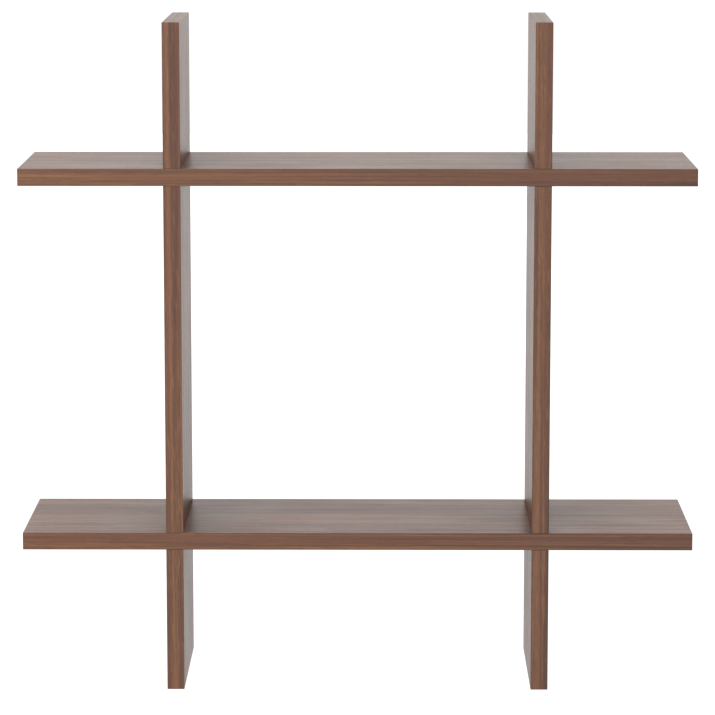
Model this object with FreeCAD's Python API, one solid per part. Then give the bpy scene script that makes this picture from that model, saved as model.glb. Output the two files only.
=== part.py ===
"""A wall shelf in the shape of a hash sign, hung on four keyhole brackets.

Two shelves lie across two uprights. Every board is an 18 mm particle board core between two walnut face
sheets, with a walnut band on each of its four edges. The shelves are slotted from the rear edge and the
uprights from the front edge, so that each shelf slides on from the front and the fronts finish flush: a
cross-halving joint at each of the four crossings. A shelf's front edge runs through unbroken, and so does
an upright's rear edge.

Each upright has two keyhole brackets let in flush with its rear edge, each held by two countersunk
screws. Four screws in the wall, at the corners of a rectangle, go in at the round ends of the keyholes,
and the shelf drops on to them.

Frame: X to the right, Y towards the wall, Z up, in millimetres. The origin is on the wall's face, at the
centre of the four keyholes' round ends, which is also the middle of the shelf's width and height.
"""

import FreeCAD
import Part

import math
import os

# The whole shelf.
width = 700.0  # X: the length of a shelf
height = 700.0  # Z: the length of an upright
depth = 180.0  # Y: how far it stands out from the wall

# The boards.
board_thickness = 18.0
face_thickness = 0.6
band_thickness = 1.0
edge_radius = 0.6  # on every outer corner, all of it within the bands

# Where the boards cross.
shelf_overhang = 150.0  # from a shelf's end to the outer face of the nearer upright
upright_overhang = 150.0  # from an upright's end to the nearer face of a shelf
shelf_slot_depth = 90.0  # from a shelf's rear edge; the upright's slot takes the rest of the depth
side_clearance = 0.1  # on each side of an upright in a shelf's slot
top_clearance = 0.2  # over a shelf, which rests on the lower side of an upright's slot
lap_gap = 0.5  # between the bottoms of two slots that meet

# The keyhole brackets.
keyhole_from_end = 70.0  # from an upright's end to the round end of the nearer keyhole
bracket_width = 14.0
bracket_length = 52.0
bracket_thickness = 1.5
bracket_edge_radius = 0.3
bracket_recess = 0.1  # how far it lies below the rear edge
bracket_clearance = 0.2  # round the bracket in its seat
keyhole_entry_radius = 4.5
keyhole_slot_radius = 2.3
keyhole_travel = 9.0  # how far the shelf drops on to the wall screws
head_room_radius = 5.5  # the pocket behind the keyhole, for the wall screw's head
head_room_depth = 12.0  # from the rear edge

# The countersunk screws that hold the brackets.
screw_spacing = 38.0  # between a bracket's two screws
screw_length = 16.0
screw_head_radius = 3.3
screw_head_rim = 0.25
screw_neck_radius = 1.5
screw_thread_radius = 1.75
screw_root_radius = 1.15
screw_thread_pitch = 1.6
screw_plain_length = 0.6  # between the head's cone and the first thread
screw_tip_length = 3.2
screw_clearance = 0.15  # round the head in the bracket
recess_arm_length = 3.6  # the cross recess in the head
recess_arm_width = 0.8
recess_depth = 1.3

# Worked out from the sizes above.
upright_centre = width / 2 - shelf_overhang - board_thickness / 2  # X of the right-hand upright
shelf_centre = height / 2 - upright_overhang - board_thickness / 2  # Z of the upper shelf
lap_line = -shelf_slot_depth  # Y at which the two slots meet
keyhole_centre = height / 2 - keyhole_from_end  # Z of the upper keyholes' round ends
bracket_rear = -bracket_recess
bracket_front = bracket_rear - bracket_thickness


def box(x_range, y_range, z_range):
    """A box between two places on each axis."""
    size = [high - low for low, high in (x_range, y_range, z_range)]
    return Part.makeBox(*size, FreeCAD.Vector(x_range[0], y_range[0], z_range[0]))


def slotted_blank(length, slots, slot_range):
    """A whole board, lying flat: its length along X, its rear edge at Y 0 and its middle at Z 0.

    Its outer corners are rounded. slots holds each slot's range along X, and slot_range is how far they all
    reach along Y.
    """
    half = board_thickness / 2
    blank = box((-length / 2, length / 2), (-depth, 0), (-half, half))
    blank = blank.makeFillet(min(edge_radius, 0.9 * band_thickness), blank.Edges)
    for slot in slots:
        blank = blank.cut(box(slot, slot_range, (-half, half)))
    return blank


def board_pieces(blank, length):
    """Cuts a slotted blank into its core, two face sheets and four edge bands.

    The front and rear bands run the whole length and cover the ends of the two end bands. A band that a
    slot breaks comes out as separate lengths.
    """
    end = length / 2
    within = (-end + band_thickness, end - band_thickness)
    between = (-depth + band_thickness, -band_thickness)
    half = board_thickness / 2
    core_half = half - face_thickness
    whole_length = (-end, end)
    whole_thickness = (-half, half)
    regions = {
        "core": (within, between, (-core_half, core_half)),
        "low_face": (within, between, (-half, -core_half)),
        "high_face": (within, between, (core_half, half)),
        "front_band": (whole_length, (-depth, between[0]), whole_thickness),
        "rear_band": (whole_length, (between[1], 0), whole_thickness),
        "low_end_band": ((-end, within[0]), between, whole_thickness),
        "high_end_band": ((within[1], end), between, whole_thickness),
    }
    return {name: blank.common(box(*region)) for name, region in regions.items()}


def shelf_pieces(centre_z):
    """One shelf's pieces in place, slotted from the rear for both uprights."""
    half_slot = board_thickness / 2 + side_clearance
    slots = [(place - half_slot, place + half_slot) for place in (-upright_centre, upright_centre)]
    blank = slotted_blank(width, slots, (lap_line - lap_gap / 2, 0))
    pieces = board_pieces(blank, width)
    for piece in pieces.values():
        piece.translate(FreeCAD.Vector(0, 0, centre_z))
    return pieces


def upright_pieces(centre_x):
    """One upright's pieces in place, slotted from the front for both shelves.

    The board is made lying flat and stood up, which turns its X to Z and its Z to -X.
    """
    half = board_thickness / 2
    slots = [(place - half, place + half + top_clearance) for place in (-shelf_centre, shelf_centre)]
    blank = slotted_blank(height, slots, (-depth, lap_line + lap_gap / 2))
    pieces = board_pieces(blank, height)
    for piece in pieces.values():
        piece.rotate(FreeCAD.Vector(0, 0, 0), FreeCAD.Vector(0, 1, 0), -90)
        piece.translate(FreeCAD.Vector(centre_x, 0, 0))
    return pieces


def upright_slot(x, z_range, radius, y_range):
    """A prism along Y whose outline is a slot standing upright, with its round ends centred at z_range."""
    low, high = z_range
    across = FreeCAD.Vector(radius, 0, 0)
    along = FreeCAD.Vector(0, 0, radius)
    bottom = FreeCAD.Vector(x, y_range[0], low)
    top = FreeCAD.Vector(x, y_range[0], high)
    outline = Part.Wire([
        Part.Arc(bottom - across, bottom - along, bottom + across).toShape(),
        Part.LineSegment(bottom + across, top + across).toShape(),
        Part.Arc(top + across, top + along, top - across).toShape(),
        Part.LineSegment(top - across, bottom - across).toShape(),
    ])
    return Part.Face(outline).extrude(FreeCAD.Vector(0, y_range[1] - y_range[0], 0))


def along_y(shape, x, z, rear):
    """Turns a round piece made down from Z 0 so that it runs into the board from Y rear."""
    shape.rotate(FreeCAD.Vector(0, 0, 0), FreeCAD.Vector(1, 0, 0), -90)
    shape.translate(FreeCAD.Vector(x, rear, z))
    return shape


def turned(profile):
    """The solid that a closed profile of (radius, height) points makes as it turns about Z."""
    points = [FreeCAD.Vector(radius, 0, z) for radius, z in profile]
    face = Part.Face(Part.makePolygon(points + points[:1]))
    return face.revolve(FreeCAD.Vector(0, 0, 0), FreeCAD.Vector(0, 0, 1), 360)


def countersink():
    """What a screw's head takes out of the bracket, with its clearance: a hole under a cone."""
    rim = screw_head_radius + screw_clearance
    neck = screw_neck_radius + screw_clearance
    cone_foot = -screw_head_rim - (rim - neck)
    below = min(cone_foot, -bracket_thickness) - screw_clearance
    return turned([(0, 0), (rim, 0), (rim, -screw_head_rim), (neck, cone_foot), (neck, below), (0, below)])


def screw():
    """A countersunk chipboard screw, its head's flat top at Z 0 and its tip pointing down.

    The thread is a row of sharp ridges, one to each turn.
    """
    cone_foot = -screw_head_rim - (screw_head_radius - screw_neck_radius)
    first_ridge = cone_foot - screw_plain_length
    tip_start = -screw_length + screw_tip_length
    ridges = int((first_ridge - tip_start) / screw_thread_pitch)
    profile = [
        (0, 0),
        (screw_head_radius, 0),
        (screw_head_radius, -screw_head_rim),
        (screw_neck_radius, cone_foot),
        (screw_neck_radius, first_ridge),
        (screw_root_radius, first_ridge),
    ]
    for ridge in range(ridges):
        top = first_ridge - ridge * screw_thread_pitch
        profile.append((screw_root_radius, top - 0.35 * screw_thread_pitch))
        profile.append((screw_thread_radius, top - 0.6 * screw_thread_pitch))
        profile.append((screw_root_radius, top - 0.85 * screw_thread_pitch))
    profile += [(screw_root_radius, tip_start), (0, -screw_length)]
    body = turned(profile)
    half_arm = recess_arm_length / 2
    half_width = recess_arm_width / 2
    for x_half, y_half in ((half_arm, half_width), (half_width, half_arm)):
        body = body.cut(box((-x_half, x_half), (-y_half, y_half), (-recess_depth, 0)))
    return body


def bracket(x, entry_z):
    """One keyhole bracket, its keyhole's round end centred at x and entry_z. Its outer rim is eased."""
    middle = entry_z + keyhole_travel / 2
    half_run = bracket_length / 2 - bracket_width / 2
    ends = (middle - half_run, middle + half_run)
    plate = upright_slot(x, ends, bracket_width / 2, (bracket_front, bracket_rear))
    rim = [edge for edge in plate.Edges if abs(edge.CenterOfMass.y - bracket_rear) < 1e-6]
    plate = plate.makeFillet(bracket_edge_radius, rim)
    through = (bracket_front, bracket_rear)
    keyhole_slot = (entry_z, entry_z + keyhole_travel)
    plate = plate.cut(upright_slot(x, keyhole_slot, keyhole_slot_radius, through))
    entry = Part.makeCylinder(
        keyhole_entry_radius,
        bracket_thickness,
        FreeCAD.Vector(x, bracket_front, entry_z),
        FreeCAD.Vector(0, 1, 0),
    )
    plate = plate.cut(entry)
    for z in (middle - screw_spacing / 2, middle + screw_spacing / 2):
        plate = plate.cut(along_y(countersink(), x, z, bracket_rear))
    return plate


def bracket_screws(x, entry_z):
    """The two screws of one bracket."""
    middle = entry_z + keyhole_travel / 2
    places = (middle - screw_spacing / 2, middle + screw_spacing / 2)
    return [along_y(screw(), x, z, bracket_rear) for z in places]


def bracket_seat(x, entry_z):
    """What a bracket takes out of an upright: its flush seat and the pocket for the wall screw's head."""
    middle = entry_z + keyhole_travel / 2
    half_run = bracket_length / 2 - bracket_width / 2
    ends = (middle - half_run, middle + half_run)
    seat = upright_slot(x, ends, bracket_width / 2 + bracket_clearance, (bracket_front, 0))
    head_room = upright_slot(
        x, (entry_z, entry_z + keyhole_travel), head_room_radius, (-head_room_depth, 0)
    )
    return seat.fuse(head_room)


def save(node, shapes):
    """Writes one node. Each of its shapes may hold several solids."""
    solids = [solid for shape in shapes for solid in shape.Solids]
    for solid in solids:
        assert solid.isValid() and solid.Volume > 0, node
    whole = solids[0] if len(solids) == 1 else Part.makeCompound(solids)
    whole.exportStep(f"parts/{node}.step")


def main():
    """Builds every piece in place and writes one file for each node."""
    os.makedirs("parts", exist_ok=True)
    shelf_names = {
        "core": "core",
        "low_face": "bottom_face",
        "high_face": "top_face",
        "front_band": "front_band",
        "rear_band": "rear_bands",
        "low_end_band": "left_end_band",
        "high_end_band": "right_end_band",
    }
    for shelf, centre_z in (("upper_shelf", shelf_centre), ("lower_shelf", -shelf_centre)):
        for name, piece in shelf_pieces(centre_z).items():
            save(f"{shelf}_{shelf_names[name]}", [piece])

    # A board's high face turns to -X when it is stood up.
    upright_names = {
        "core": "core",
        "front_band": "front_bands",
        "rear_band": "rear_band",
        "low_end_band": "bottom_end_band",
        "high_end_band": "top_end_band",
    }
    face_names = {
        "left": {"high_face": "outer_face", "low_face": "inner_face"},
        "right": {"high_face": "inner_face", "low_face": "outer_face"},
    }
    for side, centre_x in (("left", -upright_centre), ("right", upright_centre)):
        pieces = upright_pieces(centre_x)
        for level, entry_z in (("upper", keyhole_centre), ("lower", -keyhole_centre)):
            screws = bracket_screws(centre_x, entry_z)
            seat = bracket_seat(centre_x, entry_z)
            for name, piece in pieces.items():
                pieces[name] = piece.cut([seat] + screws)
            save(f"{level}_{side}_keyhole_bracket", [bracket(centre_x, entry_z)])
            save(f"{level}_{side}_bracket_screws", screws)
        names = upright_names | face_names[side]
        for name, piece in pieces.items():
            save(f"{side}_upright_{names[name]}", [piece])


main()
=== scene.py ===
"""The looks of a hash-shaped wall shelf in walnut-faced board, hung on four keyhole brackets.

Lengths are metres and the frame is the model's own: X to the right, Y towards the wall, Z up, with the wall's
face at Y 0. Every place comes from the model's nodes.
"""

import logging
import math
from dataclasses import dataclass
from enum import Enum
from typing import Any, ClassVar, Sequence

import bpy
import numpy as np
from mathutils import Euler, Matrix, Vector


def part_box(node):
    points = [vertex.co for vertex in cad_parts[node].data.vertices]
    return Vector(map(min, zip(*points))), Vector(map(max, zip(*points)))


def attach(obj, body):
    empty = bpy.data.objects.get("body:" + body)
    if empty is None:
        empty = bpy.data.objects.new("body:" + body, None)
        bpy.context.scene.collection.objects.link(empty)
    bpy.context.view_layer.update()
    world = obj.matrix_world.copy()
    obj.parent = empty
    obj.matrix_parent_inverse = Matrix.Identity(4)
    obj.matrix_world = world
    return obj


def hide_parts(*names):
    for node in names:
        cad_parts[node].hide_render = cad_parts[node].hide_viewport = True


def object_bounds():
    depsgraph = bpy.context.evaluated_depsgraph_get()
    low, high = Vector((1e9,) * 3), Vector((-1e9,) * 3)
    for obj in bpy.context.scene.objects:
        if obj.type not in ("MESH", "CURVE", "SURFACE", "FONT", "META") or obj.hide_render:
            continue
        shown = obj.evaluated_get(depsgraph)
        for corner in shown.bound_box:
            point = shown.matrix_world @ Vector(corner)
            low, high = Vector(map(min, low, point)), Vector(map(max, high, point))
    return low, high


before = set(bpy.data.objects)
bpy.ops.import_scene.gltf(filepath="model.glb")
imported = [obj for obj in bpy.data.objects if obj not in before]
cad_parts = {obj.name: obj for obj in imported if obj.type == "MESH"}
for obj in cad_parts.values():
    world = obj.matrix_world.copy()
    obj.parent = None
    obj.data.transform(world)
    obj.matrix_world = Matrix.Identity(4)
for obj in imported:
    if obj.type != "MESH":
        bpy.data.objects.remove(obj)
cad_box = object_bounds()

MM = 0.001

log = logging.getLogger("wall_shelf")

Place = tuple[float, float, float]
Colour = tuple[float, float, float]
Range = tuple[float, float, float, float]
Socket = bpy.types.NodeSocket

WHITE = (1.0, 1.0, 1.0)


class Axis(Enum):
    """A direction of the model's frame, and its column in an array of points."""

    X = 0
    Y = 1
    Z = 2


def third_axis(first: Axis, second: Axis) -> Axis:
    """Returns the axis that is neither of two."""
    return Axis(sum(axis.value for axis in Axis) - first.value - second.value)


class End(Enum):
    """How a length of edge band ends."""

    EASED = "rounded like its other outer corners"
    CUT = "sawn square at a slot"


# ---- Shader trees ----


class Graph:
    """Adds nodes to one shader tree and joins them up."""

    def __init__(self, tree: bpy.types.NodeTree) -> None:
        """Starts with an empty tree.

        Args:
            tree: The material's, world's or group's node tree.
        """
        self.tree = tree
        tree.nodes.clear()

    def node(self, kind: str, inputs: dict[Any, Any] | None = None, **settings: Any) -> bpy.types.Node:
        """Adds a node.

        Args:
            kind: The node's type, without its ShaderNode prefix, or in full where it has another.
            inputs: Values or sockets for its inputs, by name or index.
            settings: The node's own attributes.

        Returns:
            The new node.
        """
        full = kind if kind.startswith("Node") else "ShaderNode" + kind
        made = self.tree.nodes.new(full)
        for name, value in settings.items():
            setattr(made, name, value)
        for key, value in (inputs or {}).items():
            if isinstance(value, Socket):
                self.tree.links.new(value, made.inputs[key])
            else:
                made.inputs[key].default_value = value
        return made

    def math(self, operation: str, *values: float | Socket, clamp: bool = False) -> Socket:
        """Returns the result of one Math node on up to three values."""
        made = self.node("Math", dict(enumerate(values)), operation=operation, use_clamp=clamp)
        return made.outputs[0]

    def remap(self, value: Socket, span: Range) -> Socket:
        """Moves a value smoothly from one range on to another.

        Args:
            value: The value.
            span: The first range's lowest and highest, and what they become.

        Returns:
            The moved value, which keeps within the second range.
        """
        low, high, to_low, to_high = span
        inputs = {"Value": value, "From Min": low, "From Max": high, "To Min": to_low, "To Max": to_high}
        return self.node("MapRange", inputs, interpolation_type="SMOOTHSTEP").outputs["Result"]

    def noise(self, vector: Socket, detail: float = 2.0, roughness: float = 0.5) -> Socket:
        """Returns fractal noise at a vector that already has its scale."""
        inputs = {"Vector": vector, "Scale": 1.0, "Detail": detail, "Roughness": roughness}
        return self.node("TexNoise", inputs).outputs["Fac"]

    def scaled(self, vector: Socket, scale: Sequence[float] | Socket) -> Socket:
        """Returns the vector times a scale for each axis."""
        return self.node("VectorMath", {0: vector, 1: scale}, operation="MULTIPLY").outputs[0]

    def combine(self, x: float | Socket, y: float | Socket, z: float | Socket) -> Socket:
        """Returns a vector of three values."""
        return self.node("CombineXYZ", {"X": x, "Y": y, "Z": z}).outputs[0]

    def mix(self, factor: float | Socket, first: Any, second: Any, blend: str = "MIX") -> Socket:
        """Returns two colours mixed by a factor."""
        made = self.node("Mix", data_type="RGBA", blend_type=blend)
        for index, value in ((0, factor), (6, first), (7, second)):
            if isinstance(value, Socket):
                self.tree.links.new(value, made.inputs[index])
            else:
                made.inputs[index].default_value = (*value, 1.0) if index else value
        return made.outputs[2]

    def ramp(self, factor: Socket, stops: Sequence[tuple[float, Colour]]) -> Socket:
        """Returns a colour from a ramp with the given stops."""
        made = self.node("ValToRGB", {"Fac": factor})
        elements = made.color_ramp.elements
        while len(elements) < len(stops):
            elements.new(0.5)
        for element, (place, colour) in zip(elements, stops):
            element.position = place
            element.color = (*colour, 1.0)
        return made.outputs["Color"]

    def feed(self, target: Any, values: dict[str, Socket]) -> None:
        """Joins values to the inputs of a group's output node, by name."""
        for name, value in values.items():
            self.tree.links.new(value, target[name])


def group_graph(
    name: str, inputs: dict[str, tuple[str, Any]], outputs: Sequence[str]
) -> tuple[Graph, Any, Any]:
    """Starts a shader node group.

    Args:
        name: The group's name.
        inputs: Each input's socket type and default value.
        outputs: The outputs' names. All are single values.

    Returns:
        The group's graph, its input node's outputs and its output node's inputs.
    """
    tree = bpy.data.node_groups.new(name, "ShaderNodeTree")
    for label, (kind, default) in inputs.items():
        socket = tree.interface.new_socket(label, in_out="INPUT", socket_type="NodeSocket" + kind)
        socket.default_value = default
    for label in outputs:
        tree.interface.new_socket(label, in_out="OUTPUT", socket_type="NodeSocketFloat")
    graph = Graph(tree)
    source = graph.node("NodeGroupInput")
    target = graph.node("NodeGroupOutput")
    return graph, source.outputs, target.inputs


class Waves(Enum):
    """The noises in walnut's figure, as waves in a metre along, across and through the grain."""

    SWAY = (1.9, 11.0, 11.0)
    HUE = (1.3, 38.0, 95.0)
    STREAKS = (4.0, 460.0, 460.0)
    FIBRES = (16.0, 1800.0, 1800.0)
    CROWDING = (0.8, 30.0, 60.0)
    CLEARNESS = (1.4, 26.0, 70.0)
    FLECKS = (50.0, 560.0, 560.0)
    PORES = (85.0, 2600.0, 2600.0)


class WalnutFigure:
    """The straight-grained figure of walnut, as a shader node group.

    The grain runs along the X of the Vector input. Bands, streaks, fibres and pores are noises stretched
    along it, each finer than the last. The tone adds up the bands, the rings, the streaks with their fibres,
    the flecks and the distance along the board, each times its own strength.
    """

    INPUTS = {
        "Vector": ("Vector", (0.0, 0.0, 0.0)),
        "Offset": ("Vector", (0.0, 0.0, 0.0)),
        "Band Scale": ("Vector", (1.6, 40.0, 150.0)),
        "Ring Scale": ("Vector", (0.0, 90.0, 0.0)),
        "Drift": ("Float", 0.01),
        "Bands": ("Float", 0.3),
        "Rings": ("Float", 0.2),
        "Streaks": ("Float", 0.3),
        "Flecks": ("Float", 0.2),
        "Slope": ("Float", 0.0),
    }
    OUTPUTS = ("Tone", "Hue", "Pore", "Height")

    # Each is a value's lowest and highest, and what they become.
    BAND_SPAN = (0.3, 0.7, -1.0, 1.0)
    FLECK_SPAN = (0.52, 0.7, 0.0, 1.0)
    PORE_SPAN = (0.3, 0.39, 1.0, 0.0)
    CLEARNESS_SPAN = (0.35, 0.65, 0.35, 1.3)
    RING_EDGE_SPAN = (0.86, 1.0, 1.0, 0.0)

    CROWDING = 3.5  # how many rings the crowding noise may add
    RING_SHADE = 0.6  # the most that a ring is lightened as a whole
    RING_LIFT = 0.05  # how much lighter all rings are
    FLECK_LEAN = 6.0  # how far along the grain a fleck reaches for each step across it
    FIBRE_SHARE = 0.45  # the fibres against the streaks
    FINE_MEAN = 0.725  # the mean of the two together
    FINE_GAIN = 4.0
    FIBRE_RELIEF = 0.25  # the fibres' height against the pores' depth

    def __init__(self) -> None:
        """Starts the group."""
        self.graph, self.source, self.target = group_graph("walnut_figure", self.INPUTS, self.OUTPUTS)

    def wave(self, place: Socket, waves: Waves, detail: float = 2.0, roughness: float = 0.5) -> Socket:
        """Returns one of the figure's noises at a place."""
        return self.graph.noise(self.graph.scaled(place, waves.value), detail, roughness)

    def wandered(self, place: Socket) -> Socket:
        """Moves a place sideways by a slow noise times Drift, so that the grain draws together and apart.

        Args:
            place: The place.

        Returns:
            The moved place.
        """
        graph = self.graph
        parts = graph.node("SeparateXYZ", {"Vector": place}).outputs
        slow = self.wave(place, Waves.SWAY, roughness=0.4)
        sway = graph.math("MULTIPLY", graph.math("SUBTRACT", slow, 0.5), self.source["Drift"])
        across, through = (graph.math("ADD", parts[side], sway) for side in "YZ")
        return graph.combine(parts["X"], across, through)

    def rings(self, place: Socket) -> Socket:
        """Makes the growth rings.

        A ring is one turn of the place's product with Ring Scale, plus a noise that crowds the rings here and
        spreads them there. Across it the tone falls by the square of the turn and then jumps back. Each ring
        has a shade of its own, and another slow noise makes the rings fade in and out.

        Args:
            place: The wandered place.

        Returns:
            What the rings add to the tone.
        """
        graph = self.graph
        along = graph.node("VectorMath", {0: place, 1: self.source["Ring Scale"]}, operation="DOT_PRODUCT")
        crowding = self.wave(place, Waves.CROWDING, detail=1.0)
        turns = graph.math("MULTIPLY_ADD", crowding, self.CROWDING, along.outputs["Value"])
        turn = graph.math("FRACT", turns)
        own = graph.node("TexWhiteNoise", {"W": graph.math("FLOOR", turns)}, noise_dimensions="1D")
        edge = graph.remap(turn, self.RING_EDGE_SPAN)
        late = graph.math("MULTIPLY", graph.math("MULTIPLY", turn, turn), edge)
        clear = graph.remap(self.wave(place, Waves.CLEARNESS, detail=1.0), self.CLEARNESS_SPAN)
        tone = graph.math("SUBTRACT", graph.math("MULTIPLY", own.outputs["Value"], self.RING_SHADE), late)
        return graph.math("MULTIPLY", graph.math("ADD", tone, self.RING_LIFT), clear)

    def flecks(self, place: Socket) -> Socket:
        """Makes the slanted flecks: noise on a place sheared along the grain by how far it is across it."""
        graph = self.graph
        parts = graph.node("SeparateXYZ", {"Vector": place}).outputs
        sideways = graph.math("ADD", parts["Y"], parts["Z"])
        lean = graph.math("MULTIPLY_ADD", sideways, self.FLECK_LEAN, parts["X"])
        sheared = graph.combine(lean, parts["Y"], parts["Z"])
        return graph.remap(self.wave(sheared, Waves.FLECKS, roughness=0.55), self.FLECK_SPAN)

    def build(self) -> bpy.types.NodeTree:
        """Joins the figure's parts.

        The pores keep only their noise's lowest values. Hue is a noise for reddening, and Height is the
        fibres standing up and the pores sinking in.

        Returns:
            The node group. Tone is 0 in the darkest line and 1 in the lightest.
        """
        graph, source = self.graph, self.source
        moved = graph.node("VectorMath", {0: source["Vector"], 1: source["Offset"]}, operation="ADD")
        place = moved.outputs[0]
        wandered = self.wandered(place)
        streaks = self.wave(wandered, Waves.STREAKS, detail=3.0, roughness=0.6)
        fibres = self.wave(wandered, Waves.FIBRES, roughness=0.6)
        pores = graph.remap(self.wave(wandered, Waves.PORES, detail=1.0), self.PORE_SPAN)

        bands = graph.remap(graph.noise(graph.scaled(wandered, source["Band Scale"])), self.BAND_SPAN)
        tone = graph.math("MULTIPLY_ADD", bands, source["Bands"], 0.5)
        tone = graph.math("MULTIPLY_ADD", self.rings(wandered), source["Rings"], tone)
        fine = graph.math("MULTIPLY_ADD", fibres, self.FIBRE_SHARE, streaks)
        fine = graph.math("SUBTRACT", fine, self.FINE_MEAN)
        strength = graph.math("MULTIPLY", source["Streaks"], self.FINE_GAIN)
        tone = graph.math("MULTIPLY_ADD", fine, strength, tone)
        length = graph.node("SeparateXYZ", {"Vector": source["Vector"]}).outputs["X"]
        tone = graph.math("MULTIPLY_ADD", length, source["Slope"], tone)
        tone = graph.math("MULTIPLY_ADD", self.flecks(place), source["Flecks"], tone, clamp=True)

        hue = self.wave(wandered, Waves.HUE, detail=1.0, roughness=0.4)
        height = graph.math("MULTIPLY_ADD", fibres, self.FIBRE_RELIEF, graph.math("MULTIPLY", pores, -1.0))
        graph.feed(self.target, {"Tone": tone, "Hue": hue, "Pore": pores, "Height": height})
        return graph.tree


def handling_group() -> bpy.types.NodeTree:
    """Makes the slight unevenness that wiping and handling leave on a lacquered or plated surface.

    It is a sum of a broad cloud and a fine mottle, both plain fractal noise.

    Returns:
        The node group. Change is about -1 to 1.
    """
    mottle_waves = (900.0, 900.0, 900.0)
    gain = 4.0
    inputs = {"Vector": ("Vector", (0.0, 0.0, 0.0)), "Size": ("Float", 0.08), "Fine": ("Float", 0.35)}
    graph, source, target = group_graph("handling", inputs, ("Change",))
    scale = graph.math("DIVIDE", 1.0, source["Size"])
    spread = graph.scaled(source["Vector"], graph.combine(scale, scale, scale))
    broad = graph.noise(spread, detail=3.0, roughness=0.55)
    mottle = graph.noise(graph.scaled(source["Vector"], mottle_waves), detail=1.0)
    total = graph.math("MULTIPLY_ADD", graph.math("SUBTRACT", mottle, 0.5), source["Fine"], broad)
    change = graph.math("MULTIPLY", graph.math("SUBTRACT", total, 0.5), gain)
    graph.feed(target, {"Change": change})
    return graph.tree


def fine_lines_group() -> bpy.types.NodeTree:
    """Makes fine drawn lines, as rolling and tumbling leave on plated steel.

    Two noises stretched along two directions are multiplied, so that the lines break up.

    Returns:
        The node group. Mask is 0 to 1, and Height is for a bump.
    """
    stretch = 0.04
    mask_span = (0.12, 0.42, 0.0, 1.0)
    inputs = {"Vector": ("Vector", (0.0, 0.0, 0.0)), "Density": ("Float", 3000.0)}
    graph, source, target = group_graph("fine_lines", inputs, ("Mask", "Height"))
    place, high = source["Vector"], source["Density"]
    low = graph.math("MULTIPLY", high, stretch)
    first = graph.noise(graph.scaled(place, graph.combine(high, low, low)))
    second = graph.noise(graph.scaled(place, graph.combine(low, low, high)))
    product = graph.math("MULTIPLY", first, second)
    graph.feed(target, {"Mask": graph.remap(product, mask_span), "Height": product})
    return graph.tree


@dataclass(frozen=True)
class Effects:
    """The shader node groups that the finishes share."""

    figure: bpy.types.NodeTree
    handling: bpy.types.NodeTree
    fine_lines: bpy.types.NodeTree

    @staticmethod
    def build() -> "Effects":
        """Makes each group once."""
        return Effects(WalnutFigure().build(), handling_group(), fine_lines_group())


# ---- Finishes ----


def new_material(name: str) -> tuple[bpy.types.Material, Graph]:
    """Starts a material with an empty node tree."""
    material = bpy.data.materials.new(name)
    material.use_nodes = True
    return material, Graph(material.node_tree)


def finish_surface(graph: Graph, inputs: dict[str, Any]) -> None:
    """Ends a material's tree with one Principled BSDF.

    Args:
        graph: The material's graph.
        inputs: Values or sockets for the shader's inputs.
    """
    shader = graph.node("BsdfPrincipled", inputs)
    graph.node("OutputMaterial", {"Surface": shader.outputs["BSDF"]})


@dataclass(frozen=True)
class Sawing:
    """How walnut's figure lies on a piece.

    Attributes:
        ring_scale: Rings in a metre, across the board's depth and through its thickness.
        band_scale: Bands in a metre, in the same two directions.
        drift: How far the grain wanders.
        bands: How strong the bands are.
        rings: How strong the rings are.
        streaks: How strong the streaks and fibres are.
        flecks: How strong the slanted flecks are.
    """

    ring_scale: tuple[float, float]
    band_scale: tuple[float, float]
    drift: float
    bands: float
    rings: float
    streaks: float
    flecks: float


class Cut(Enum):
    """What a piece of walnut covers, and how its figure lies, in the order of the sawing's fields."""

    SHELF_FACE = Sawing((118.0, 0.0), (58.0, 150.0), 0.042, 0.20, 0.50, 0.50, 0.14)
    UPRIGHT_FACE = Sawing((98.0, 0.0), (42.0, 150.0), 0.048, 0.23, 0.43, 0.41, 0.18)
    SHELF_BAND = Sawing((0.0, 230.0), (48.0, 190.0), 0.003, 0.17, 0.26, 0.36, 0.18)
    UPRIGHT_BAND = Sawing((0.0, 150.0), (48.0, 150.0), 0.004, 0.26, 0.18, 0.28, 0.36)
    END_BAND = Sawing((210.0, 210.0), (150.0, 150.0), 0.003, 0.11, 0.16, 0.28, 0.12)


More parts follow.
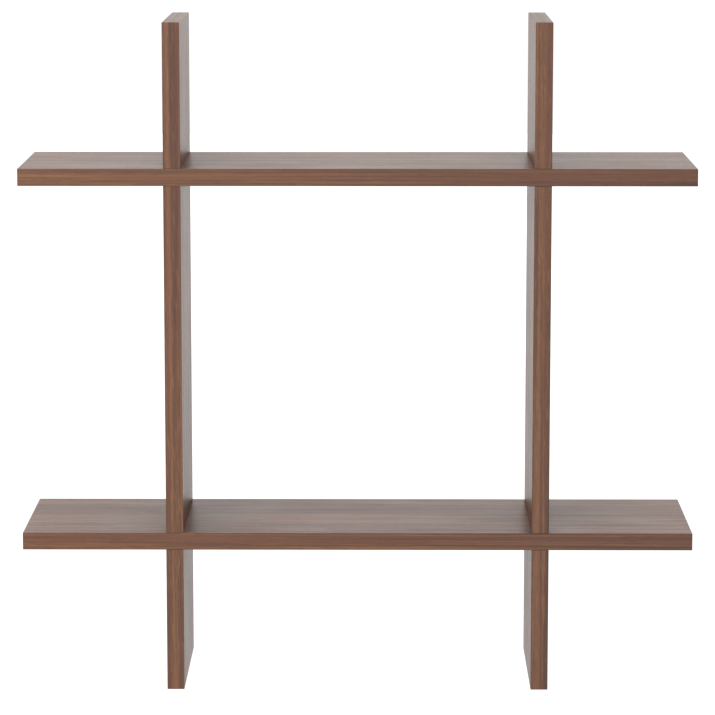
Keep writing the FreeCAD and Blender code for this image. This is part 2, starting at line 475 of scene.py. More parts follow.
@dataclass(frozen=True)
class WalnutFinish:
    """Satin walnut facing.

    Attributes:
        name: The material's name.
        grain: The direction of the grain.
        cut: How its figure lies.
        offset: Where in the figure this board was cut, so that no two look alike.
        tint: The board's own shade, multiplied into its colour.
        slope: How much lighter the figure gets in a metre along the grain.
        painted_edge_shade: How much painted shade darkens the rounded corner of a band, where shade falls on
            it.
    """

    name: str
    grain: Axis
    cut: Cut
    offset: Place
    tint: Colour
    slope: float = 0.0
    painted_edge_shade: float = 0.0

    DARK = (0.067, 0.032, 0.022)
    MIDDLE = (0.126, 0.0565, 0.0315)
    LIGHT = (0.215, 0.098, 0.0475)
    PORE = (0.044, 0.022, 0.016)
    RED = (0.138, 0.052, 0.033)
    RED_SPAN = (0.5, 0.68, 0.0, 0.35)
    PORE_SHADE = 0.45
    BAND_LENGTH_SCALE = 1.6  # bands in a metre along the grain

    ROUGHNESS = 0.40  # in the darkest line, smoothly wiped and with no pores
    TONE_ROUGHNESS = -0.07
    HANDLING_ROUGHNESS = 0.03
    PORE_ROUGHNESS = 0.12
    BUMP_STRENGTH = 0.22
    BUMP_DEPTH = 0.08 * MM
    LACQUER_IOR = 1.46

    def figure(self, graph: Graph, effects: Effects, place: Socket) -> Any:
        """Adds the figure, turned to the grain, and returns its outputs."""
        parts = graph.node("SeparateXYZ", {"Vector": place}).outputs
        order = {Axis.X: "XYZ", Axis.Y: "YXZ", Axis.Z: "ZYX"}[self.grain]
        cut = self.cut.value
        inputs = {
            "Vector": graph.combine(*(parts[label] for label in order)),
            "Offset": self.offset,
            "Band Scale": (self.BAND_LENGTH_SCALE, *cut.band_scale),
            "Ring Scale": (0.0, *cut.ring_scale),
            "Drift": cut.drift,
            "Bands": cut.bands,
            "Rings": cut.rings,
            "Streaks": cut.streaks,
            "Flecks": cut.flecks,
            "Slope": self.slope,
        }
        return graph.node("Group", inputs, node_tree=effects.figure).outputs

    def material(self, effects: Effects) -> bpy.types.Material:
        """Makes the material.

        Args:
            effects: The shared node groups.

        Returns:
            The material.
        """
        material, graph = new_material(self.name)
        place = graph.node("TexCoord").outputs["Object"]
        got = self.figure(graph, effects, place)

        colour = graph.ramp(got["Tone"], [(0.0, self.DARK), (0.5, self.MIDDLE), (1.0, self.LIGHT)])
        colour = graph.mix(graph.remap(got["Hue"], self.RED_SPAN), colour, self.RED)
        colour = graph.mix(graph.math("MULTIPLY", got["Pore"], self.PORE_SHADE), colour, self.PORE)
        colour = graph.mix(1.0, colour, self.tint, "MULTIPLY")
        # Painted shade: the rounded corners of the band are darkened towards the pore colour, as shade on the
        # rounding.
        if self.painted_edge_shade:
            corner = graph.node("Attribute", attribute_name="corner").outputs["Fac"]
            colour = graph.mix(graph.math("MULTIPLY", corner, self.painted_edge_shade), colour, self.PORE)

        handling = graph.node("Group", {"Vector": place}, node_tree=effects.handling)
        rough = graph.math("MULTIPLY_ADD", got["Tone"], self.TONE_ROUGHNESS, self.ROUGHNESS)
        rough = graph.math("MULTIPLY_ADD", handling.outputs["Change"], self.HANDLING_ROUGHNESS, rough)
        rough = graph.math("MULTIPLY_ADD", got["Pore"], self.PORE_ROUGHNESS, rough)
        relief = {"Height": got["Height"], "Strength": self.BUMP_STRENGTH, "Distance": self.BUMP_DEPTH}
        normal = graph.node("Bump", relief).outputs["Normal"]
        finish_surface(
            graph, {"Base Color": colour, "Roughness": rough, "Normal": normal, "IOR": self.LACQUER_IOR}
        )
        return material


@dataclass(frozen=True)
class ChipboardFinish:
    """Raw particle board, seen only where it is cut.

    Attributes:
        name: The material's name.
    """

    name: str

    PALE = (0.62, 0.44, 0.26)
    TAWNY = (0.40, 0.25, 0.13)
    DARK = (0.16, 0.09, 0.05)
    GLUE = (0.70, 0.60, 0.42)
    CHIPS = (620.0, 1100.0, 430.0)  # chips in a metre on each axis
    WOBBLE_WAVES = 900.0  # in a metre
    WOBBLE = 0.7 * MM
    EDGE_SPAN = (0.35, 0.8, 0.0, 0.55)

    def material(self) -> bpy.types.Material:
        """Makes the material: flat chips are stretched Voronoi cells, each with its own shade."""
        material, graph = new_material(self.name)
        place = graph.node("TexCoord").outputs["Object"]
        noise = graph.node("TexNoise", {"Vector": place, "Scale": self.WOBBLE_WAVES, "Detail": 3.0})
        moves = {0: noise.outputs["Color"], 1: (self.WOBBLE,) * 3, 2: place}
        moved = graph.node("VectorMath", moves, operation="MULTIPLY_ADD").outputs[0]
        chips = graph.node("TexVoronoi", {"Vector": graph.scaled(moved, self.CHIPS), "Scale": 1.0}).outputs
        shade = graph.node("SeparateXYZ", {"Vector": chips["Color"]}).outputs["X"]
        colour = graph.ramp(shade, [(0.0, self.DARK), (0.3, self.TAWNY), (0.75, self.PALE), (1.0, self.GLUE)])
        colour = graph.mix(graph.remap(chips["Distance"], self.EDGE_SPAN), colour, self.DARK)
        finish_surface(graph, {"Base Color": colour, "Roughness": 0.85, "Specular IOR Level": 0.3})
        return material


@dataclass(frozen=True)
class PlatedSteelFinish:
    """Zinc-plated steel.

    Attributes:
        name: The material's name.
        colour: The plate's colour.
        shadow: The colour where the plate is dull.
        roughness: How rough it is where it is bright.
    """

    name: str
    colour: Colour
    shadow: Colour
    roughness: float

    CLOUD_SIZE = 6.0 * MM
    DULL_MEAN = 0.4
    DULL_CHANGE = 0.35
    DULL_ROUGHNESS = 0.14
    LINE_ROUGHNESS = 0.08
    BUMP_STRENGTH = 0.15
    BUMP_DEPTH = 0.04 * MM

    def material(self, effects: Effects) -> bpy.types.Material:
        """Makes the material.

        Args:
            effects: The shared node groups.

        Returns:
            The material.
        """
        material, graph = new_material(self.name)
        place = graph.node("TexCoord").outputs["Object"]
        cloud = {"Vector": place, "Size": self.CLOUD_SIZE}
        change = graph.node("Group", cloud, node_tree=effects.handling).outputs["Change"]
        lines = graph.node("Group", {"Vector": place}, node_tree=effects.fine_lines).outputs
        dull = graph.math("MULTIPLY_ADD", change, self.DULL_CHANGE, self.DULL_MEAN, clamp=True)
        colour = graph.mix(dull, self.colour, self.shadow)
        rough = graph.math("MULTIPLY_ADD", dull, self.DULL_ROUGHNESS, self.roughness)
        rough = graph.math("MULTIPLY_ADD", lines["Mask"], self.LINE_ROUGHNESS, rough)
        relief = {"Height": lines["Height"], "Strength": self.BUMP_STRENGTH, "Distance": self.BUMP_DEPTH}
        normal = graph.node("Bump", relief).outputs["Normal"]
        finish_surface(graph, {"Base Color": colour, "Metallic": 1.0, "Roughness": rough, "Normal": normal})
        return material


@dataclass(frozen=True)
class FloorFinish:
    """A plain white floor, a little deeper in tone near the shelf than far from it.

    A slow noise makes the change uneven.

    Attributes:
        name: The material's name.
        near: Its colour below the shelf.
        far: Its colour from the far distance outwards.
        far_distance: In metres from the middle.
        glow: How much brighter it looks to the camera than to what stands on it.
    """

    name: str = "pale_floor"
    near: Colour = (0.66, 0.66, 0.66)
    far: Colour = (0.875, 0.875, 0.875)
    far_distance: float = 22.0
    glow: float = 0.3

    CLOUD_WAVES = (0.6, 0.6, 0.6)  # in a metre on each axis
    CLOUD_REACH = 1.5  # how far a cloud moves the tone's edge

    def material(self) -> bpy.types.Material:
        """Makes the material: matt, with its colour mixed by the distance from the middle."""
        material, graph = new_material(self.name)
        place = graph.node("TexCoord").outputs["Object"]
        away = graph.node("VectorMath", {0: place}, operation="LENGTH").outputs["Value"]
        cloud = graph.noise(graph.scaled(place, self.CLOUD_WAVES), detail=3.0)
        away = graph.math("MULTIPLY_ADD", cloud, self.CLOUD_REACH, away)
        share = graph.remap(away, (0.0, self.far_distance, 0.0, 1.0))
        seen = graph.node("LightPath").outputs["Is Camera Ray"]
        inputs = {
            "Base Color": graph.mix(share, self.near, self.far),
            "Roughness": 0.9,
            "Specular IOR Level": 0.0,
            "Emission Color": (*WHITE, 1.0),
            "Emission Strength": graph.math("MULTIPLY", seen, self.glow),
        }
        finish_surface(graph, inputs)
        return material


# ---- Meshes ----


def add_piece(
    name: str, mesh: bpy.types.Mesh, node: str, material: bpy.types.Material
) -> bpy.types.Object:
    """Puts a mesh in the scene as the piece that stands for one node.

    Args:
        name: The piece's name.
        mesh: Its mesh, in place.
        node: The node that it replaces.
        material: Its material.

    Returns:
        The object.
    """
    piece = bpy.data.objects.new(name, mesh)
    bpy.context.scene.collection.objects.link(piece)
    mesh.materials.append(material)
    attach(piece, "root")
    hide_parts(node)
    log.info("%s: %d faces, stands for %s", name, len(mesh.polygons), node)
    return piece


def outward(mesh: bpy.types.Mesh) -> None:
    """Turns a closed mesh right side out if the volume that its faces enclose comes out negative."""
    mesh.calc_loop_triangles()
    points = np.empty(len(mesh.vertices) * 3)
    mesh.vertices.foreach_get("co", points)
    corners = np.empty(len(mesh.loop_triangles) * 3, dtype=np.int32)
    mesh.loop_triangles.foreach_get("vertices", corners)
    a, b, c = points.reshape(-1, 3)[corners].reshape(-1, 3, 3).transpose(1, 0, 2)
    if np.einsum("ij,ij->", a, np.cross(b, c)) < 0:
        mesh.flip_normals()


def tube_faces(rows: int, columns: int) -> np.ndarray:
    """Numbers the quads of a tube of points, each of whose rows is a ring.

    Args:
        rows: How many rings there are.
        columns: How many points a ring has.

    Returns:
        An array of four point numbers for each quad, going round the ring and then to the next one.
    """
    row, column = np.meshgrid(np.arange(rows - 1), np.arange(columns), indexing="ij")
    following = (column + 1) % columns
    corners = [row * columns + column, row * columns + following]
    corners += [(row + 1) * columns + following, (row + 1) * columns + column]
    return np.stack([corner.ravel() for corner in corners], axis=1)


def tube_mesh(name: str, grids: Sequence[np.ndarray], sharp: float) -> bpy.types.Mesh:
    """Makes one mesh of closed tubes with a flat cap on each end.

    Args:
        name: The mesh's name.
        grids: Each tube's points, as an array of rings by points by three.
        sharp: The angle in degrees past which an edge is shaded sharp.

    Returns:
        The mesh, with its faces outwards and its points in the grids' order.
    """
    faces: list[list[int]] = []
    first = 0
    for grid in grids:
        rows, columns, _ = grid.shape
        faces += (tube_faces(rows, columns) + first).tolist()
        ring = np.arange(columns) + first
        faces.append(ring[::-1].tolist())
        faces.append((ring + (rows - 1) * columns).tolist())
        first += rows * columns
    mesh = bpy.data.meshes.new(name)
    mesh.from_pydata(np.concatenate([grid.reshape(-1, 3) for grid in grids]), [], faces)
    outward(mesh)
    mesh.shade_smooth()
    mesh.set_sharp_from_angle(angle=math.radians(sharp))
    return mesh


@dataclass(frozen=True)
class BandSection:
    """The cross-section of an edge band: flat behind, with its two outer corners rounded.

    Attributes:
        width: Across the board's edge.
        thickness: Out from the board's core.
        radius: Of the outer corners.
        steps: How many flats make up each corner.
    """

    width: float
    thickness: float
    radius: float
    steps: int = 5

    @property
    def least_radius(self) -> float:
        """The corners' radius where the band ends, so that no face there closes up."""
        return self.radius / 20

    def outline(self) -> tuple[np.ndarray, np.ndarray, np.ndarray]:
        """Works out the section as centres, directions and a corner mask.

        A point of the outline is its centre plus the corner's radius times its direction, so that the
        section shrinks evenly when the radius does.

        Returns:
            Centres and directions as (across, out) pairs, and the sine of twice the corner's angle.
        """
        half = self.width / 2 - self.radius
        angle = np.linspace(0.0, math.pi / 2, self.steps + 1)
        angles = np.concatenate([angle, angle + math.pi / 2])
        side = np.where(np.arange(len(angles)) <= self.steps, 1.0, -1.0)
        centres = np.stack([side * half, np.full(len(angles), self.thickness - self.radius)], axis=1)
        directions = np.stack([np.cos(angles), np.sin(angles)], axis=1)
        corner = np.abs(np.sin(2 * angles))
        centres = np.vstack([[half, 0.0], centres, [-half, 0.0]])
        directions = np.vstack([[1.0, 0.0], directions, [-1.0, 0.0]])
        return centres, directions, np.concatenate([[0.0], corner, [0.0]])


@dataclass(frozen=True)
class BandRun:
    """One length of edge band.

    Attributes:
        start: Where it begins along the band.
        stop: Where it ends.
        first: How it begins.
        last: How it ends.
    """

    start: float
    stop: float
    first: End = End.CUT
    last: End = End.CUT

    PITCH = 35.0 * MM

    def stations(self, radius: float, steps: int) -> tuple[np.ndarray, np.ndarray, np.ndarray]:
        """Works out where the sections stand and how far each is drawn in.

        At an eased end the sections follow a quarter circle: the place by its sine and the draw by one
        minus its cosine. Between the ends they are evenly spaced.

        Args:
            radius: The corner's radius.
            steps: How many flats make up a corner.

        Returns:
            Each section's place, how far it is drawn in, and the sine of twice its angle.
        """
        angle = np.linspace(math.pi / 2, 0.0, steps + 1)[:-1]
        draw, mask = radius * (1 - np.cos(angle)), np.abs(np.sin(2 * angle))
        start = self.start + radius if self.first is End.EASED else self.start
        stop = self.stop - radius if self.last is End.EASED else self.stop
        middle = np.linspace(start, stop, max(2, round((stop - start) / self.PITCH)))
        places, draws, masks = [middle], [np.zeros_like(middle)], [np.zeros_like(middle)]
        if self.first is End.EASED:
            places.insert(0, start - radius * np.sin(angle))
            draws.insert(0, draw)
            masks.insert(0, mask)
        if self.last is End.EASED:
            places.append((stop + radius * np.sin(angle))[::-1])
            draws.append(draw[::-1])
            masks.append(mask[::-1])
        return np.concatenate(places), np.concatenate(draws), np.concatenate(masks)


@dataclass(frozen=True)
class EdgeBand:
    """A band on one edge of a board.

    Attributes:
        section: Its cross-section.
        runs: Its lengths.
        along: The axis of its length.
        out: The axis that it faces.
        facing: Which way it faces on that axis, 1 or -1.
        back: Where its back is on that axis.
        centre: Where its middle is across the board's edge.
    """

    section: BandSection
    runs: Sequence[BandRun]
    along: Axis
    out: Axis
    facing: float
    back: float
    centre: float

    SHARP = 40.0

    def sweep(self, run: BandRun) -> tuple[np.ndarray, np.ndarray]:
        """Carries the section along one run.

        A point is the run's place along one axis, and the section's (across, out) pair on the other two.

        Args:
            run: The length of band.

        Returns:
            The points, as sections by points by three, and how near each is to a rounded corner's middle.
        """
        centres, directions, section_mask = self.section.outline()
        places, draws, run_mask = run.stations(self.section.radius, self.section.steps)
        reach = np.maximum(self.section.radius - draws, self.section.least_radius)[:, None, None]
        pairs = centres + reach * directions
        grid = np.empty((*pairs.shape[:2], 3))
        grid[..., self.along.value] = places[:, None]
        grid[..., third_axis(self.along, self.out).value] = self.centre + pairs[..., 0]
        grid[..., self.out.value] = self.back + self.facing * pairs[..., 1]
        return grid, np.maximum(run_mask[:, None], section_mask)

    def mesh(self, name: str) -> bpy.types.Mesh:
        """Makes the band.

        Args:
            name: The mesh's name.

        Returns:
            The mesh, with the attribute corner, which is 1 at the middle of a rounded corner.
        """
        grids, masks = zip(*(self.sweep(run) for run in self.runs))
        mesh = tube_mesh(name, grids, self.SHARP)
        attribute = mesh.attributes.new("corner", "FLOAT", "POINT")
        mask = np.concatenate([mask.ravel() for mask in masks])
        attribute.data.foreach_set("value", mask.astype(np.float32))
        return mesh


# ---- The boards ----


def node_box(*nodes: str) -> tuple[Vector, Vector]:
    """Returns the lowest and highest corners of one or more nodes together."""
    boxes = [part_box(node) for node in nodes]
    low = Vector(min(box[0][i] for box in boxes) for i in range(3))
    high = Vector(max(box[1][i] for box in boxes) for i in range(3))
    return low, high


def dress(node: str, material: bpy.types.Material) -> None:
    """Gives a node of the model its material.

    Args:
        node: The node's name.
        material: Its finish.
    """
    carried = bpy.data.objects[node]
    if not carried.material_slots:
        carried.data.materials.append(material)
    for slot in carried.material_slots:
        slot.material = material
    log.info("%s: keeps its shape, finished in %s", node, material.name)


@dataclass(frozen=True)
class Veneer:
    """How one board's walnut was picked.

    Attributes:
        face_place: Where in the figure its faces were cut.
        band_place: Where in the figure its edge bands were cut.
        tint: The board's own shade.
        slope: How much lighter the figure of its long bands gets in a metre.
    """

    face_place: Place
    band_place: Place
    tint: Colour
    slope: float = 0.0


@dataclass
class Board:
    """One board: a slotted core with two faces and a band on each edge.

    Attributes:
        name: The board's name, which starts its nodes' names.
        veneer: How its walnut was picked.
        edge_radius: Of its outer corners.
        slot_play: Between the end of a length of band and the board that crosses there.
    """

    name: str
    veneer: Veneer
    edge_radius: float = 0.6 * MM
    slot_play: float = 0.15 * MM

    LENGTH: ClassVar[Axis]
    FACES: ClassVar[tuple[str, str]]
    LONG_BANDS: ClassVar[tuple[str, str]]
    END_BANDS: ClassVar[tuple[str, str]]
    CROSSING_FACES: ClassVar[tuple[tuple[str, str], ...]]
    FACE_CUT: ClassVar[Cut]
    BAND_CUT: ClassVar[Cut]
    # How much painted shade darkens the rounded corners of the bands.
    PAINTED_EDGE_SHADE: ClassVar[float]

    def finishes(self, effects: Effects) -> tuple[bpy.types.Material, ...]:
        """Makes the board's materials: its faces, the bands along it and the bands on its ends."""
        name, veneer, tint, line = self.name, self.veneer, self.veneer.tint, self.PAINTED_EDGE_SHADE
        place, slope = veneer.band_place, veneer.slope
        face = WalnutFinish(f"{name}_face_walnut", self.LENGTH, self.FACE_CUT, veneer.face_place, tint)
        band = WalnutFinish(f"{name}_band_walnut", self.LENGTH, self.BAND_CUT, place, tint, slope, line)
        end = WalnutFinish(f"{name}_end_walnut", Axis.Y, Cut.END_BAND, place, tint, painted_edge_shade=line)
        return tuple(finish.material(effects) for finish in (face, band, end))

    def build(self, effects: Effects, core: bpy.types.Material) -> None:
        """Makes the board's bands and dresses the rest of it.

        Args:
            effects: The shared node groups.
            core: The core's material.
        """
        face_walnut, band_walnut, end_walnut = self.finishes(effects)
        dress(f"{self.name}_core", core)
        for face in self.FACES:
            dress(f"{self.name}_{face}", face_walnut)
        for band in self.LONG_BANDS:
            self.long_band(f"{self.name}_{band}", band_walnut)
        for band in self.END_BANDS:
            self.end_band(f"{self.name}_{band}", end_walnut)

    def crossings(self) -> list[tuple[float, float]]:
        """Finds where other boards cross this one, as ranges along its length."""
        axis = self.LENGTH.value
        boxes = [node_box(*faces) for faces in self.CROSSING_FACES]
        return [(low[axis], high[axis]) for low, high in boxes]

    def long_band(self, node: str, material: bpy.types.Material) -> None:
        """Makes the band on the front or rear edge, in several lengths if its node's name ends in bands.

        Args:
            node: The node that it stands for.
            material: Its finish.
        """
        low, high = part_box(node)
        stops = [low[self.LENGTH.value], high[self.LENGTH.value]]
        if node.endswith("bands"):
            for first, last in self.crossings():
                stops += [first - self.slot_play, last + self.slot_play]
        stops.sort()
        pairs = list(zip(stops[::2], stops[1::2]))
        ends = [End.EASED] + [End.CUT] * (2 * len(pairs) - 2) + [End.EASED]
        runs = [BandRun(*pair, *kinds) for pair, kinds in zip(pairs, zip(ends[::2], ends[1::2]))]
        self.edging(node, runs, self.LENGTH, Axis.Y, material)

    def end_band(self, node: str, material: bpy.types.Material) -> None:
        """Makes the band on one end, between the front and rear bands."""
        low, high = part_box(node)
        self.edging(node, [BandRun(low[1], high[1])], Axis.Y, self.LENGTH, material)

    def edging(
        self, node: str, runs: Sequence[BandRun], along: Axis, out: Axis, material: bpy.types.Material
    ) -> None:
        """Makes a band that faces away from the board's faces.

        Args:
            node: The node that it stands for.
            runs: Its lengths.
            along: The axis of its length.
            out: The axis that it faces.
            material: Its finish.
        """
        low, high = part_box(node)
        board_low, _ = node_box(*(f"{self.name}_{face}" for face in self.FACES))
        deep, wide = out.value, third_axis(along, out).value
        faces_low = low[deep] < board_low[deep]
        facing, back = (-1.0, high[deep]) if faces_low else (1.0, low[deep])
        section = BandSection(high[wide] - low[wide], high[deep] - low[deep], self.edge_radius)
        band = EdgeBand(section, runs, along, out, facing, back, (low[wide] + high[wide]) / 2)
        add_piece(f"{node}_edging", band.mesh(node), node, material)


class Shelf(Board):
    """A shelf, whose rear band the uprights break."""

    LENGTH = Axis.X
    FACES = ("top_face", "bottom_face")
    LONG_BANDS = ("front_band", "rear_bands")
    END_BANDS = ("left_end_band", "right_end_band")
    CROSSING_FACES = (
        ("left_upright_outer_face", "left_upright_inner_face"),
        ("right_upright_outer_face", "right_upright_inner_face"),
    )
    FACE_CUT = Cut.SHELF_FACE
    BAND_CUT = Cut.SHELF_BAND
    PAINTED_EDGE_SHADE = 0.3


class Upright(Board):
    """An upright, whose front band the shelves break and whose rear band is let out for the brackets."""

    LENGTH = Axis.Z
    FACES = ("outer_face", "inner_face")
    LONG_BANDS = ("front_bands", "rear_band")
    END_BANDS = ("bottom_end_band", "top_end_band")
    CROSSING_FACES = (
        ("lower_shelf_top_face", "lower_shelf_bottom_face"),
        ("upper_shelf_top_face", "upper_shelf_bottom_face"),
    )
    FACE_CUT = Cut.UPRIGHT_FACE
    BAND_CUT = Cut.UPRIGHT_BAND
    PAINTED_EDGE_SHADE = 0.08

    def long_band(self, node: str, material: bpy.types.Material) -> None:
        """Makes the front band, and keeps the rear one as it is, with its seats for the brackets."""
        if node.endswith("rear_band"):
            dress(node, material)
        else:
            super().long_band(node, material)


# ---- The hanging hardware ----


@dataclass(frozen=True)
class CountersunkScrew:
    """A countersunk chipboard screw with a helical thread and a cross recess.

    Attributes:
        head_radius: Of the flat top.
        rim: The height of the head's straight rim.
        head_ease: The small slope at the top's edge.
        neck_radius: Where the head's cone ends.
        root_radius: At the bottom of the thread.
        thread_radius: At the thread's crest.
        pitch: From one turn to the next.
        length: Overall.
        tip: The length of the tapered tip.
        plain: The neck between the head and the thread.
        recess_arm: The cross recess, from tip to tip.
        recess_width: Of each arm.
        recess_depth: At the middle.
        recess_side: How far across an arm's side slopes.
        recess_end: How far along an arm's end slopes.
    """

    head_radius: float = 3.3 * MM
    rim: float = 0.25 * MM
    head_ease: float = 0.05 * MM
    neck_radius: float = 1.5 * MM
    root_radius: float = 1.15 * MM
    thread_radius: float = 1.75 * MM
    pitch: float = 1.6 * MM
    length: float = 16.0 * MM
    tip: float = 3.2 * MM
    plain: float = 0.6 * MM
    recess_arm: float = 3.6 * MM
    recess_width: float = 0.8 * MM
    recess_depth: float = 1.3 * MM
    recess_side: float = 0.16 * MM
    recess_end: float = 0.5 * MM

    SPOKES = 96
    HEAD_ROWS = 30
    CONE_ROWS = 5
    ROWS_PER_TURN = 12
    POLE = 0.02  # the top's first ring, as a share of its radius
    POINT = 0.03  # the tip's last ring, as a share of the root's radius
    RIDGE = 0.28  # half the thread's foot, as a share of the pitch
    ARM_TAPER = (1.15, 0.3)  # an arm's width at the middle, and how much of it goes by the arm's end

    @property
    def cone_foot(self) -> float:
        """How deep the head's cone ends, at 45 degrees."""
        return self.rim + self.head_radius - self.neck_radius

    @property
    def thread_top(self) -> float:
        """How deep the thread starts."""
        return self.cone_foot + self.plain

    def profile(self) -> tuple[np.ndarray, np.ndarray]:
        """Works out the plain turned shape from the middle of the head to the tip.

        Returns:
            Each row's radius and its depth below the head's top.
        """
        head = np.linspace(self.POLE, 1.0, self.HEAD_ROWS) * (self.head_radius - self.head_ease)
        turns = (self.length - self.thread_top) / self.pitch
        along = np.linspace(self.thread_top, self.length, int(turns * self.ROWS_PER_TURN))
        taper = np.clip((self.length - along) / self.tip, 0.0, 1.0)
        radii = [
            head,
            [self.head_radius, self.head_radius],
            np.linspace(self.head_radius, self.neck_radius, self.CONE_ROWS + 1)[1:],
            self.root_radius * np.maximum(taper, self.POINT),
        ]
        depths = [
            np.zeros_like(head),
            [self.head_ease, self.rim],
            np.linspace(self.rim, self.cone_foot, self.CONE_ROWS + 1)[1:],
            along,
        ]
        return np.concatenate(radii), np.concatenate(depths)

    def points(self, spin: float) -> np.ndarray:
        """Works out the screw's surface, head up at the origin and pointing down Z.

        The thread is a ridge added to the radius: a steep sawtooth of depth over pitch less angle over a
        full turn, which makes it a helix. The recess lowers the head's top wherever a point is nearer to
        one of two crossed lines than half an arm's width, with steep smooth sides.

        Args:
            spin: How far the screw is turned about its axis, in radians.

        Returns:
            An array of rows by spokes by three.
        """
        radii, depths = self.profile()
        angles = np.linspace(0.0, 2 * math.pi, self.SPOKES, endpoint=False)
        radius, angle = np.meshgrid(radii, angles, indexing="ij")
        depth = np.broadcast_to(depths[:, None], radius.shape)
        threads = (depth - self.thread_top) / self.pitch
        turn = np.mod(threads - angle / (2 * math.pi), 1.0)
        ridge = np.clip(1.0 - np.abs(turn - 0.5) / self.RIDGE, 0.0, 1.0)
        start = np.clip(threads, 0.0, 1.0)
        taper = np.clip((self.length - depth) / self.tip, 0.0, 1.0)
        lift = (self.thread_radius - self.root_radius) * ridge * start * taper
        radius = radius + np.where(depth > self.thread_top, lift, 0.0)

        x, y = radius * np.cos(angle), radius * np.sin(angle)
        near = np.minimum(np.abs(x), np.abs(y))
        far = np.maximum(np.abs(x), np.abs(y))
        at_middle, lost = self.ARM_TAPER
        width = self.recess_width / 2 * (at_middle - lost * far / (self.recess_arm / 2))
        side = np.clip((width - near) / self.recess_side + 0.5, 0.0, 1.0)
        reach = np.clip((self.recess_arm / 2 - far) / self.recess_end, 0.0, 1.0)
        on_head = np.broadcast_to(np.arange(len(radii))[:, None] < self.HEAD_ROWS, radius.shape)
        dip = np.where(on_head, self.recess_depth * side * reach, 0.0)
        turned_x = x * math.cos(spin) - y * math.sin(spin)
        turned_y = x * math.sin(spin) + y * math.cos(spin)
        return np.stack([turned_x, turned_y, -(depth + dip)], axis=-1)


@dataclass
class KeyholeHanger:
    """One keyhole bracket and its two screws.

    Attributes:
        bracket_node: The bracket.
        screws_node: Its screws.
        spins: How far each screw is turned, in radians.
        screw: The kind of screw.
    """

    bracket_node: str
    screws_node: str
    spins: tuple[float, float]
    screw: CountersunkScrew = CountersunkScrew()

    SHARP = 35.0

    def build(self, bracket_finish: bpy.types.Material, screw_finish: bpy.types.Material) -> None:
        """Dresses the bracket and makes the screws, which point away from the wall.

        Args:
            bracket_finish: The bracket's material.
            screw_finish: The screws' material.
        """
        dress(self.bracket_node, bracket_finish)
        low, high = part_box(self.screws_node)
        middle = (low[0] + high[0]) / 2
        heights = (low[2] + self.screw.head_radius, high[2] - self.screw.head_radius)
        grids = []
        for height, spin in zip(heights, self.spins):
            across, deep, down = np.moveaxis(self.screw.points(spin), -1, 0)
            grids.append(np.stack([middle + across, high[1] + down, height - deep], axis=-1))
        mesh = tube_mesh(self.screws_node, grids, self.SHARP)
        add_piece(f"{self.screws_node}_threaded", mesh, self.screws_node, screw_finish)


# ---- The studio ----


def stand(name: str, data: Any, place: Vector) -> bpy.types.Object:
    """Puts a light, a camera or a mesh in the scene at a place, and returns its object."""
    made = bpy.data.objects.new(name, data)
    made.location = place
    bpy.context.scene.collection.objects.link(made)
    return made


@dataclass(frozen=True)
class SoftLight:
    """A large square soft light, aimed at a point.

    Attributes:
        name: The light's name.
        place: Where it stands, from the shelf's middle.
        size: The length of its side.
        power: In watts.
        colour: Its colour.
        shines: Whether it shows in glossy surfaces.
    """

    name: str
    place: Place
    size: float
    power: float
    colour: Colour = (1.0, 0.93, 0.84)
    shines: bool = True

    def build(self, target: Vector) -> None:
        """Adds the light, facing the target."""
        data = bpy.data.lights.new(self.name, "AREA")
        data.shape = "SQUARE"
        data.size = self.size
        data.energy = self.power
        data.color = self.colour
        lamp = stand(self.name, data, target + Vector(self.place))
        lamp.rotation_euler = (-Vector(self.place)).to_track_quat("-Z", "Y").to_euler()
        lamp.visible_camera = False
        lamp.visible_glossy = self.shines


@dataclass(frozen=True)
class OverheadLight:
    """A broad light from straight above.

    Attributes:
        strength: How bright it is.
        spread: How wide it looks from below, in degrees.
        height: Above the shelf's middle.
    """

    strength: float = 0.5
    spread: float = 70.0
    height: float = 3.0

    def build(self, target: Vector) -> None:
        """Adds the light above the target."""
        data = bpy.data.lights.new("overhead_light", "SUN")
        data.energy = self.strength
        data.angle = math.radians(self.spread)
        stand("overhead_light", data, target + Vector((0.0, 0.0, self.height)))


@dataclass(frozen=True)
class Surround:
    """The white surroundings.

    Attributes:
        brightness: Their strength.
        corner_shade: How much dimmer they are in a reflection of a reflection, as in an inner corner.
    """

    brightness: float = 1.03
    corner_shade: float = 0.9

    SECOND_BOUNCE = 2.5  # between the ray depths that the surroundings see after one bounce and after two

    def build(self) -> None:
        """Makes the surroundings, dimmer to a glossy ray on its second bounce or later."""
        world = bpy.data.worlds.new("white_surround")
        world.use_nodes = True
        graph = Graph(world.node_tree)
        path = graph.node("LightPath").outputs
        bounced = graph.math("GREATER_THAN", path["Ray Depth"], self.SECOND_BOUNCE)
        twice = graph.math("MULTIPLY", path["Is Glossy Ray"], bounced)
        loss = -self.corner_shade * self.brightness
        strength = graph.math("MULTIPLY_ADD", twice, loss, self.brightness)
        back = graph.node("Background", {"Color": (*WHITE, 1.0), "Strength": strength})
        graph.node("OutputWorld", {"Surface": back.outputs[0]})
        bpy.context.scene.world = world


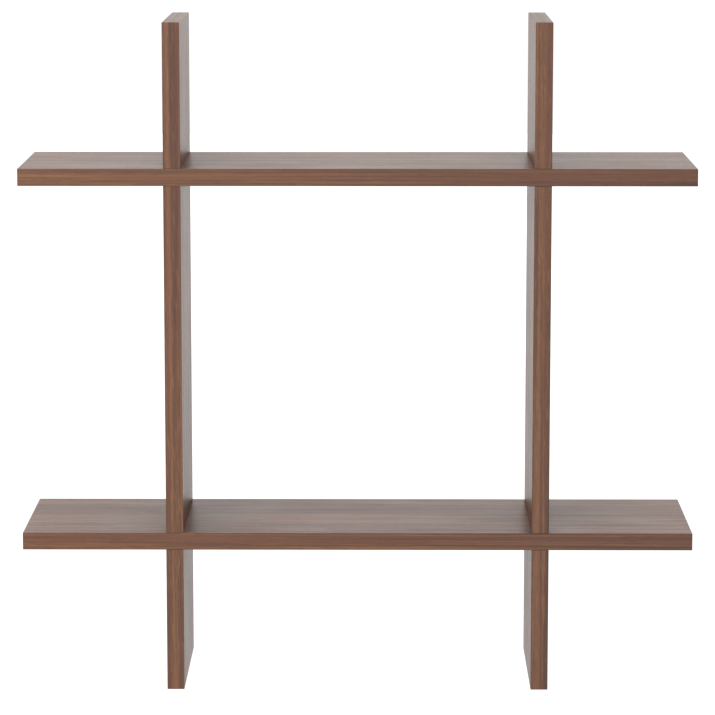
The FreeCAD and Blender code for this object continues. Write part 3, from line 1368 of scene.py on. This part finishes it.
@dataclass(frozen=True)
class Camera:
    """The camera, in front of the shelf and a little above it, looking slightly down.

    Attributes:
        place: Where it stands, from the middle of the shelf's front.
        yaw: How far it turns to the left, in degrees.
        pitch: How far it looks down, in degrees.
        lens: Its focal length in millimetres.
        sensor: Its sensor's width in millimetres.
        clip: The nearest and the farthest that it sees.
    """

    place: Place = (0.02342, -3.45396, 0.55586)
    yaw: float = 0.3871
    pitch: float = 9.0794
    lens: float = 169.994
    sensor: float = 36.0
    clip: tuple[float, float] = (0.1, 200.0)

    def build(self, front: Vector) -> None:
        """Adds the camera, placed from the middle of the shelf's front."""
        data = bpy.data.cameras.new("camera")
        data.sensor_width = self.sensor
        data.lens = self.lens
        data.clip_start, data.clip_end = self.clip
        camera = stand("camera", data, front + Vector(self.place))
        camera.rotation_euler = Euler((math.radians(90.0 - self.pitch), 0.0, math.radians(self.yaw)))
        bpy.context.scene.camera = camera


@dataclass(frozen=True)
class Studio:
    """The floor, the surroundings, the lights and the camera.

    Attributes:
        floor_drop: From the shelf's lowest point down to the floor.
        floor_reach: From the middle of the floor to its edge.
        floor_finish: The floor's finish.
        surround: The white surroundings.
        lights: The lights.
        camera: The camera.
    """

    floor_drop: float = 2.2
    floor_reach: float = 30.0
    floor_finish: FloorFinish = FloorFinish()
    surround: Surround = Surround()
    lights: tuple[SoftLight | OverheadLight, ...] = (
        SoftLight("key_light", (-1.1, -1.4, 0.8), size=1.3, power=12.5, shines=False),
        SoftLight("sheen_light", (-1.2, -1.5, 0.9), size=1.4, power=5.5),
        OverheadLight(),
    )
    camera: Camera = Camera()

    def build_floor(self, middle: Vector, lowest: float) -> None:
        """Lays the floor as one square.

        Args:
            middle: The shelf's middle.
            lowest: The shelf's lowest height.
        """
        corner = np.array([-self.floor_reach, self.floor_reach])
        x, y = np.meshgrid(middle.x + corner, middle.y + corner, indexing="xy")
        points = np.stack([x.ravel(), y.ravel(), np.full(x.size, lowest - self.floor_drop)], axis=1)
        mesh = bpy.data.meshes.new("floor")
        mesh.from_pydata(points, [], [[0, 1, 3, 2]])
        mesh.materials.append(self.floor_finish.material())
        stand("floor", mesh, Vector())

    def build(self) -> None:
        """Sets up the whole studio, with colours shown as they are lit."""
        low, high = cad_box
        middle = (Vector(low) + Vector(high)) / 2
        self.camera.build(Vector(((low[0] + high[0]) / 2, low[1], (low[2] + high[2]) / 2)))
        self.build_floor(middle, low[2])
        self.surround.build()
        for light in self.lights:
            light.build(middle)
        bpy.context.scene.view_settings.view_transform = "Standard"
        log.info("studio: camera, floor, surroundings and %d lights", len(self.lights))


# ---- The whole shelf ----


def build_boards(effects: Effects) -> None:
    """Builds the two shelves and the two uprights, each from its own part of the figure."""
    core = ChipboardFinish("pressed_chips").material()
    fair, dusky = (0.99, 0.99, 0.99), (0.92, 0.93, 0.95)
    boards: list[Board] = [
        Shelf("upper_shelf", Veneer((3.1, 1.147, 1.891), (4.8, 2.847, 3.591), fair, slope=-0.55)),
        Shelf("lower_shelf", Veneer((7.4, 2.738, 4.514), (9.1, 4.438, 6.214), fair, slope=-0.2)),
        Upright("left_upright", Veneer((11.8, 4.366, 7.198), (13.5, 6.066, 8.9038), fair)),
        Upright("right_upright", Veneer((15.3, 5.661, 9.333), (17.0, 7.361, 11.0354), dusky)),
    ]
    for board in boards:
        board.build(effects, core)


def build_hangers(effects: Effects) -> None:
    """Builds the four brackets with their screws, each turned its own way."""
    bracket_finish = PlatedSteelFinish(
        "bright_zinc", colour=(0.66, 0.67, 0.69), shadow=(0.46, 0.47, 0.50), roughness=0.26
    ).material(effects)
    screw_finish = PlatedSteelFinish(
        "yellow_zinc", colour=(0.76, 0.62, 0.36), shadow=(0.52, 0.44, 0.30), roughness=0.24
    ).material(effects)
    screw_spins = {
        "upper_left": (0.3, 1.1),
        "upper_right": (0.7, 0.1),
        "lower_left": (1.3, 0.5),
        "lower_right": (0.2, 0.9),
    }
    for corner, spins in screw_spins.items():
        hanger = KeyholeHanger(f"{corner}_keyhole_bracket", f"{corner}_bracket_screws", spins)
        hanger.build(bracket_finish, screw_finish)


def main() -> None:
    """Builds the studio, then the four boards and the hangers."""
    logging.basicConfig(level=logging.INFO, format="%(name)s: %(message)s")
    Studio().build()
    effects = Effects.build()
    build_boards(effects)
    build_hangers(effects)


if __name__ == "__main__":
    main()
